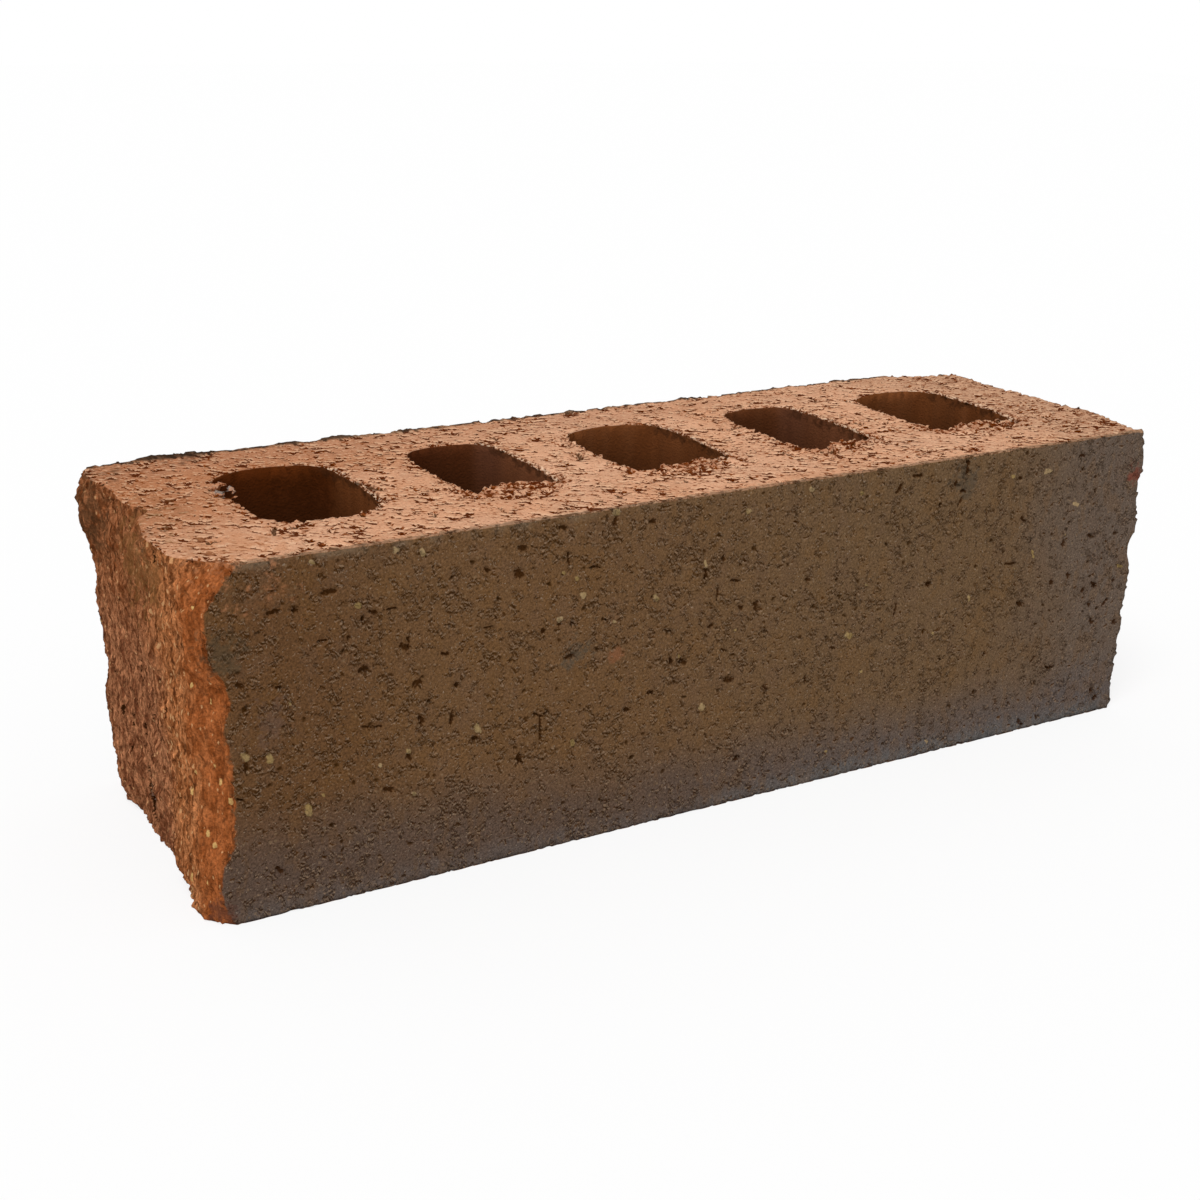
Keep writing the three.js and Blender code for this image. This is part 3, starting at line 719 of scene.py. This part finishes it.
def reading_of(mesh, name):
    """The values of a kept reading, one for each point of a mesh."""
    values = np.empty(len(mesh.vertices), np.float32)
    mesh.attributes[name].data.foreach_get("value", values)
    return values


plain = bmesh.new()
plain.from_mesh(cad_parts["brick"].data)
bmesh.ops.remove_doubles(plain, verts=plain.verts, dist=1e-6)
plain.normal_update()
core_rims = sharp_edges(plain, in_core_field)
right_end_front = sharp_edges(plain, on_right_end_front)
right_end_top = sharp_edges(plain, on_right_end_top)
left_end = sharp_edges(plain, round_left_end)
rims = marks_object("rims", [(a, b, 0) for a, b in core_rims])
hollow_marks = marks_object("hollow_marks", on_front(FRONT_HOLLOWS) + on_back(FRONT_HOLLOWS)
                            + on_bed(BED_HOLLOWS) + on_left_end(END_HOLLOWS))
stone_marks = marks_object("stone_marks", on_front(FRONT_STONES) + on_back(FRONT_STONES)
                           + upright(SPALL_STONES))

chance = random.Random(7)
add_rim_crumbs(plain, core_rims, chance)
# Grey crumbs hang on the left rim of the first core
for x, y, size in [(-121.2, 15.2, 1.4), (-119.2, 14.8, 1.6), (-117.9, 10.8, 1.4), (-119.6, 9.8, 1.1),
                   (-118.2, 7.6, 1.3), (-119.2, 4.2, 1.1), (-120.4, 1.2, 1.0)]:
    add_crumb(plain, (x, y, TOP - 0.4), size, chance)
add_back_lumps(plain, chance)
add_right_end_lumps(plain, right_end_front, right_end_top, chance)
add_left_end_lumps(plain, left_end, chance)

body_mesh = bpy.data.meshes.new("fired_brick")
plain.to_mesh(body_mesh)
plain.free()
body = placed("fired_brick", body_mesh)

remesh = body.modifiers.new("even_mesh", "REMESH")
remesh.mode = "VOXEL"
remesh.voxel_size = VOXEL / METRE
relief = body.modifiers.new("relief", "NODES")
relief.node_group = relief_tree(rims, hollow_marks, stone_marks)
dense = applied(body)
for scrap in (rims, hollow_marks, stone_marks):
    bpy.data.objects.remove(scrap)

# The mesh is thinned, but not this near the marks, in half widths: they need its full fineness
NEAR = 1.6
near_marks = np.minimum(reading_of(dense, "hollow"), reading_of(dense, "stone")) < NEAR
fine = body.vertex_groups.new(name="fine")
fine.add(np.flatnonzero(near_marks).tolist(), 1.0, "REPLACE")
thin = body.modifiers.new("thin", "DECIMATE")
thin.ratio = min(1.0, TRIANGLES / (2 * len(dense.polygons)))
thin.vertex_group = "fine"
thin.invert_vertex_group = True
thin.vertex_group_factor = 1.0
clouds = body.modifiers.new("clouds", "NODES")
clouds.node_group = cloud_tree()
applied(body)
body.data.shade_smooth()


class Paint:
    """A colour that varies over the clay, worked out by the nodes of one tree."""

    def __init__(self, tree, socket):
        self.tree = tree
        self.socket = socket

    def shade(self, factor):
        """The colour made darker or lighter."""
        return Paint(self.tree, lengthened(self.tree, self, factor))

    def toward(self, share, colour):
        """The colour with this share of another in it."""
        return mixed(self.tree, share, self, colour)


def mixed(tree, share, first, second):
    """A colour between two others."""
    first, second = (other if isinstance(other, Paint) else (*other, 1) for other in (first, second))
    node = put(tree, "ShaderNodeMix", {0: share, 6: first, 7: second}, data_type="RGBA")
    return Paint(tree, node.outputs[2])


class Shades:
    """The differences that several surfaces share."""

    def __init__(self, clay):
        self.patches = clay.cloud("patches")
        self.grain = clay.noise(0.6, detail=2, rough=0.7, shift=33)
        self.flecks = clay.blots(2.4, 0.03, shift=51).rise(0, 0.08)
        # The right end of the brick stood in the cooler smoke
        self.right = (clay.x + clay.cloud("right").swing(40)).rise(85, 135)
        # The right half of each core, from its middle on
        self.right_side = (clay.x + PITCH * 2.5).math("FLOORED_MODULO", PITCH).rise(34, 38)


def bed_paint(clay, zones, shades):
    """The pale clay of the beds: redder to the left, duller to the right and the back, red round its pits
    and painted dark in them as their shade, with pale streaks and painted highlights, painted shade
    between the coarse crumbs round the rims, painted highlights and shadows on the teeth of the right
    rims, and dull burnt edges."""
    tree = clay.tree
    paint = mixed(tree, clay.cloud("fire").rise(0.35, 0.65), (0.60, 0.303, 0.172), (0.64, 0.350, 0.214))
    left_back = (clay.x * 0.7 - clay.y + clay.cloud("bed_left").swing(60)).fall(-115, -35)
    paint = paint.toward(left_back * 0.9, (0.40, 0.160, 0.072))
    paint = paint.toward(shades.right * 0.8, (0.48, 0.27, 0.165))
    back_band = clay.y.rise(24, 34) * clay.x.fall(0, 140)
    paint = paint.toward(back_band * 0.4, (0.44, 0.215, 0.125))
    paint = paint.shade(shades.patches.factor(0.88, 1.12))
    paint = paint.shade(shades.grain.factor(0.78, 1.22))

    small, large, torn_round = bed_pits(clay, zones)
    # Painted highlights on the far walls of the pits, which face the light: the pits read from a place a
    # little nearer and to the left
    _, painted_pit_highlights, _ = bed_pits(clay.beside((-0.3, -0.7, 0)), zones)
    paint = paint.toward(torn_round * 0.4, (0.46, 0.180, 0.075))
    paint = paint.toward(zones.lip * 0.65, (0.34, 0.12, 0.052))
    # Pale drag streaks and flecks, partly paler clay and partly painted highlights, with the painted
    # highlights of the pits
    streaks = clay.turned(DRAG).noise(1.0, detail=2, stretch=(2, 1, 1), shift=46).rise(0.59, 0.65)
    paint = paint.toward(streaks.most(shades.flecks).most(painted_pit_highlights) * 0.35, (0.82, 0.56, 0.36))
    # Painted shade: the small and large pits are painted dark red-brown, as the shade in them
    paint = paint.toward(small * 0.93, (0.20, 0.043, 0.003))
    paint = paint.toward(large * 0.97, (0.082, 0.013, 0.0005))

    # Painted shade in the gaps between the worn crumbs round the rims
    between = zones.worn * worn_crumbs(clay).fall(0.44, 0.50)
    paint = paint.toward(between * 0.92, (0.12, 0.023, 0.001))
    # Painted highlights on the torn teeth of the right rims, and painted shadows between and under them
    teeth = clay.noise(1.0, detail=2, rough=0.6, shift=87)
    crumbly = zones.worn.most(zones.bed * shades.patches.rise(0.45, 0.5))
    at_teeth = shades.right_side * clay.rim.fall(0.8, 2.4) * crumbly
    paint = paint.toward(at_teeth * teeth.rise(0.53, 0.56) * 0.6, (0.82, 0.60, 0.42))
    paint = paint.toward(at_teeth * teeth.fall(0.45, 0.48) * 0.92, (0.085, 0.022, 0.004))

    paint = paint.toward(zones.fringe * 0.6, (0.20, 0.125, 0.07))
    broken = clay.cloud("broken").rise(0.46, 0.52)
    paint = paint.toward(zones.fringe * broken * clay.y.rise(0, 1) * 0.9, (0.050, 0.027, 0.018))
    at_edge = clay.y.rise(FACE - 5, FACE - 3).most(clay.x.rise(CORE_FIELD[0], CORE_FIELD[0] + 3))
    burnt = clay.z.rise(TOP + 0.1, TOP + 0.5) * at_edge
    return paint.toward(burnt * 0.85, (0.045, 0.025, 0.015))


def skin_paint(clay, shades, crumbs, coarse):
    """The dark umber of the die skin: greyer at the right, where it stood in the smoke, and greyer and
    darker towards the foot, with a painted sheen of the white floor along the foot and a painted contact
    shadow at its lowest edge. Its crumbs are painted with highlights above and shade below, its dark pits
    are painted shade with painted highlights at their edges, a paler band along the upper arris is partly
    worn clay and partly a painted highlight, and it has painted glints."""
    tree = clay.tree
    paint = mixed(tree, clay.x.rise(-70, 60), (0.151, 0.079, 0.035), (0.147, 0.087, 0.044))
    left = (clay.x + clay.cloud("skin_left").swing(30)).fall(-125, -85)
    paint = paint.toward(left * 0.8, (0.124, 0.059, 0.0245))
    paint = paint.toward(shades.right * 0.85, (0.127, 0.095, 0.075))
    low_edge = clay.x.spread(-140, 60, 24, 14)
    low = (clay.z - low_edge + clay.cloud("skin_low").swing(14)).fall(-12, 10)
    greyer = clay.x.rise(-40, 60)
    low_paint = mixed(tree, greyer, (0.101, 0.069, 0.053), (0.108, 0.089, 0.083))
    paint = paint.toward(low * 0.85, low_paint)
    # Painted highlight: the rounded foot is painted paler and greyer, as the sheen of the white floor on
    # it
    foot = (clay.z + clay.cloud("skin_foot").swing(6)).fall(1, 7)
    foot_sheen_paint = mixed(tree, greyer, (0.118, 0.094, 0.082), (0.126, 0.122, 0.118))
    paint = paint.toward(foot * 0.7, foot_sheen_paint)
    # Painted contact shadow along the lowest edge, where the brick meets the floor
    paint = paint.toward(clay.z.fall(0.3, 0.8) * 0.7, (0.030, 0.031, 0.036))
    tints = clay.noise(5, detail=3, rough=0.6, stretch=(1, 1, 2), shift=77)
    paint = paint.toward(tints.rise(0.54, 0.62) * 0.2, (0.140, 0.082, 0.052))
    paint = paint.toward(tints.fall(0.38, 0.46) * 0.2, (0.165, 0.078, 0.023))
    paint = paint.shade(shades.patches.factor(0.94, 1.06))
    paint = paint.shade(shades.grain.factor(0.5, 1.5))

    # Painted light and shade: each crumb is painted lighter on its upper side and darker below it, as
    # light from above would fall on it
    lit = (crumbs - crumble(clay.beside((0.1, 0, 0.45)))) * coarse
    crisp = clay.x.spread(-40, 130, 1, 0.6)
    paint = paint.toward(lit.rise(0.02, 0.14) * crisp * 0.65, (0.36, 0.235, 0.145))
    paint = paint.toward(lit.fall(-0.12, -0.01) * crisp * 0.75, (0.060, 0.021, 0.002))
    # Painted glints: tiny pale specks stand in for glints of light
    painted_glints = clay.noise(0.6, detail=1, shift=73).rise(0.70, 0.75)
    paint = paint.toward(painted_glints * 0.4, (0.42, 0.33, 0.24))
    paint = paint.toward(shades.flecks * 0.35, (0.27, 0.175, 0.095))

    # Painted shade: the pits are painted dark, and a painted highlight lies along the edge of each, read
    # from a place just above it
    few, deep = skin_pits(clay)
    above, _ = skin_pits(clay.beside((0.1, 0, 0.4)))
    paint = paint.toward(above * 0.4, (0.30, 0.205, 0.135))
    paint = paint.toward(few * 0.8, (0.058, 0.019, 0.001))
    paint = paint.toward(deep * 0.75, (0.045, 0.016, 0.001))
    # A paler band along the upper arris: partly paler worn clay, partly a painted highlight
    upper_edge = clay.z.rise(TOP - 3, TOP - 0.5) * clay.x.fall(-60, 0) * shades.patches.rise(0.4, 0.6)
    return paint.toward(upper_edge * 0.35, (0.22, 0.17, 0.115))


def wall_paint(clay, zones, shades):
    """The red-brown core walls: darker deep inside, partly the clay's own dark core and partly painted
    shade, and painted lighter at the top and on the right-hand walls, with painted shade on the back
    walls of the left cores, the even cores painted with darker backs and lighter right walls, and a
    painted shadow in the torn collars of the right-hand walls."""
    paint = mixed(clay.tree, clay.noise(5, stretch=(1, 1, 8)).rise(0.3, 0.7),
                  (0.118, 0.037, 0.011), (0.134, 0.045, 0.015))
    # Painted light: the right-hand walls, which face the light, are painted lighter
    paint = paint.shade(shades.right_side.spread(0, 1, 1, 1.25))
    # Painted shade on the back walls of the left cores and of the even cores, and painted light on the
    # right walls of the even cores
    at_back = clay.y.rise(10, 20)
    paint = paint.toward(at_back * clay.x.fall(-70, -20) * 0.85, (0.062, 0.013, 0.002))
    even_cores = abs(abs(clay.x) - PITCH).fall(14, 24)
    paint = paint.toward(even_cores * at_back * 0.5, (0.040, 0.012, 0.006))
    paint = paint.toward(even_cores * shades.right_side * 0.3, (0.21, 0.085, 0.050))
    paint = paint.shade(shades.grain.factor(0.85, 1.15))
    # Darker deep inside: partly the clay's own dark core, partly painted shade
    inside = (abs(clay.z - MIDDLE) + clay.cloud("inner").swing(12)).fall(28, 44)
    paint = paint.toward(inside * 0.6, (0.064, 0.020, 0.007))
    # Painted light: the walls, other than the right-hand ones, are painted lighter towards the top, where
    # more light reaches them
    near_top = clay.z.spread(TOP - 14, TOP, 0, 1) * shades.right_side.rest()
    paint = paint.shade(near_top.spread(0, 1, 1, 1.5))
    # Painted shadow in the torn collars of the right-hand walls, where the rims overhang them
    return paint.toward(zones.collar * shades.right_side * 0.55, (0.045, 0.017, 0.007))


def torn_paint(clay, shades):
    """The orange-brown clay of the torn ends: duller and redder away from the spalled front arris,
    mottled along its upright grain, with dark hollows and pale grit."""
    tree = clay.tree
    mottle = clay.noise(2.4, detail=4, rough=0.7, stretch=UPRIGHT, shift=8).rise(0.37, 0.63)
    away_from_arris = (clay.y + clay.cloud("end_left").swing(30)).rise(-28, -2)
    bright = mixed(tree, mottle, (0.17, 0.052, 0.0155), (0.44, 0.170, 0.064))
    dull = mixed(tree, mottle, (0.125, 0.041, 0.0175), (0.37, 0.155, 0.072))
    paint = mixed(tree, away_from_arris, bright, dull)
    paint = paint.toward(clay.z.rise(48, 72) * away_from_arris * 0.3, (0.165, 0.038, 0.001))
    spall = (clay.x * 0.3 + clay.y + clay.cloud("end_front").swing(8)).fall(-84, -79)
    spall_paint = mixed(tree, mottle, (0.20, 0.054, 0.0135), (0.35, 0.108, 0.033))
    paint = paint.toward(spall, spall_paint)
    paint = paint.shade(shades.grain.factor(0.55, 1.45))
    dark = clay.noise(1.3, detail=2.5, rough=0.6, distort=0.4, stretch=UPRIGHT, shift=61)
    paint = paint.toward(dark.rise(0.58, 0.62) * spall.spread(0, 1, 0.75, 0.4), (0.075, 0.023, 0.008))
    fibres = clay.noise(0.6, detail=2, stretch=(1, 1, 4), shift=69)
    paint = paint.shade(fibres.swing(spall.spread(0, 1, 2, 1)) + 1)
    pale_band = clay.y.rise(-39, -34) * clay.y.fall(-20, 0)
    grit = clay.blots(1.7, 0.022, ragged=0.25, stretch=UPRIGHT, shift=66) + pale_band * 0.09
    return paint.toward(grit.rise(0, 0.08) * 0.7, (0.60, 0.33, 0.15))


def clay_paint(clay, shades, crumbs, coarse):
    """The colour of the clay: the paint of each surface, then the stains, the painted shade of the
    hollows, and the stones.
    """
    tree = clay.tree
    zones = Zones(clay)
    paint = mixed(tree, zones.bed, torn_paint(clay, shades), bed_paint(clay, zones, shades))
    paint = paint.toward(zones.skin, skin_paint(clay, shades, crumbs, coarse))
    paint = paint.toward(zones.wall, wall_paint(clay, zones, shades))
    blotch = clay.noise(3, detail=3, rough=0.7, shift=5).swing(5)
    for middle, size, stain, share in STAINS:
        near = clay.away(middle) + blotch * size
        paint = paint.toward(near.fall(size * 0.2, size * 1.2) * share, stain)
    # Painted shade: the hollows are painted dark, as the shade in them and the shadow beside them
    hollow_shade_paint = mixed(tree, zones.torn, (0.046, 0.015, 0.002), (0.020, 0.006, 0.001))
    paint = paint.toward(hollows(clay) * zones.torn.spread(0, 1, 0.85, 0.97), hollow_shade_paint)
    tints = clay.cloud("stones").rise(0.4, 0.6)
    stone_paint = mixed(tree, tints, (0.30, 0.200, 0.075), (0.36, 0.25, 0.13))
    stone_paint = stone_paint.toward(zones.torn, (0.58, 0.36, 0.13))
    stone_paint = stone_paint.shade(shades.grain.factor(0.8, 1.2))
    return paint.toward(stones(clay).fall(0.7, 1.1) * 0.9, stone_paint)


def clay_finish():
    """The matt fired clay, which reads each point's place and distances from the mesh."""
    finish = bpy.data.materials.new("fired_clay")
    finish.use_nodes = True
    tree = finish.node_tree
    tree.nodes.clear()
    place = put(tree, "ShaderNodeAttribute", attribute_name="place").outputs["Vector"]
    distances = [Reading(tree, put(tree, "ShaderNodeAttribute", attribute_name=name).outputs["Fac"])
                 for name in ("rim", "hollow", "stone")]
    clay = Clay(tree, place, *distances, kept=True)
    shades = Shades(clay)
    crumbs = crumble(clay)
    coarse = coarseness(clay)
    # The grain and the finest of the crumbs on the die skin are too fine for the mesh
    on_skin = abs(clay.y).rise(FACE - 1.5, FACE - 0.8)
    bump = put(tree, "ShaderNodeBump", {"Height": shades.grain, "Distance": 0.35 / METRE})
    bump = put(tree, "ShaderNodeBump", {"Height": crumbs, "Distance": coarse * on_skin * (2 / METRE),
                                        "Normal": bump.outputs[0]})
    surface = put(tree, "ShaderNodeBsdfPrincipled",
                  {"Base Color": clay_paint(clay, shades, crumbs, coarse), "Roughness": 0.9,
                   "Specular IOR Level": 0.0, "Normal": bump.outputs[0]})
    put(tree, "ShaderNodeOutputMaterial", {"Surface": surface.outputs[0]})
    return finish


body.data.materials.clear()
body.data.materials.append(clay_finish())

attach(body, "root")
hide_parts("brick")

# ----------------------------------------------------------------------
# Studio. A plain pale floor, a white world behind it and one wide soft lamp.
FLOOR_SIZE = 6.0

floor_mesh = bpy.data.meshes.new("floor")
shape = bmesh.new()
bmesh.ops.create_grid(shape, x_segments=1, y_segments=1, size=FLOOR_SIZE / 2)
shape.to_mesh(floor_mesh)
shape.free()
floor = placed("floor", floor_mesh)
floor_finish = bpy.data.materials.new("pale_floor")
floor_finish.use_nodes = True
tree = floor_finish.node_tree
tree.nodes.clear()
seen = put(tree, "ShaderNodeLightPath").outputs["Is Camera Ray"]
paint = put(tree, "ShaderNodeBsdfDiffuse", {"Color": (0.9, 0.9, 0.9, 1)})
glow = put(tree, "ShaderNodeEmission", {"Color": (1, 1, 1, 1), "Strength": 1.0})
share = Reading(tree, seen) * 0.75
both = put(tree, "ShaderNodeMixShader", {0: share, 1: paint.outputs[0], 2: glow.outputs[0]})
put(tree, "ShaderNodeOutputMaterial", {"Surface": both.outputs[0]})
floor_mesh.materials.append(floor_finish)

AMBIENT = 0.52
world = bpy.data.worlds.new("studio")
world.use_nodes = True
tree = world.node_tree
tree.nodes.clear()
path = put(tree, "ShaderNodeLightPath").outputs
rays = [Reading(tree, path[f"Is {kind} Ray"]) for kind in ("Camera", "Glossy", "Transmission")]
seen = rays[0].most(rays[1]).most(rays[2])
strength = put(tree, "ShaderNodeMix", {0: seen, 2: AMBIENT, 3: 1.0}).outputs[0]
background = put(tree, "ShaderNodeBackground", {"Color": (1, 1, 1, 1), "Strength": strength})
put(tree, "ShaderNodeOutputWorld", {"Surface": background.outputs[0]})
bpy.context.scene.world = world

sun_data = bpy.data.lights.new("key", "SUN")
sun_data.energy = 2.1
sun_data.angle = math.radians(30)
sun = placed("key", sun_data)
sun.rotation_euler = Vector((0.38, 0.35, -0.86)).to_track_quat("-Z", "Y").to_euler()

bpy.context.scene.view_settings.view_transform = "Standard"
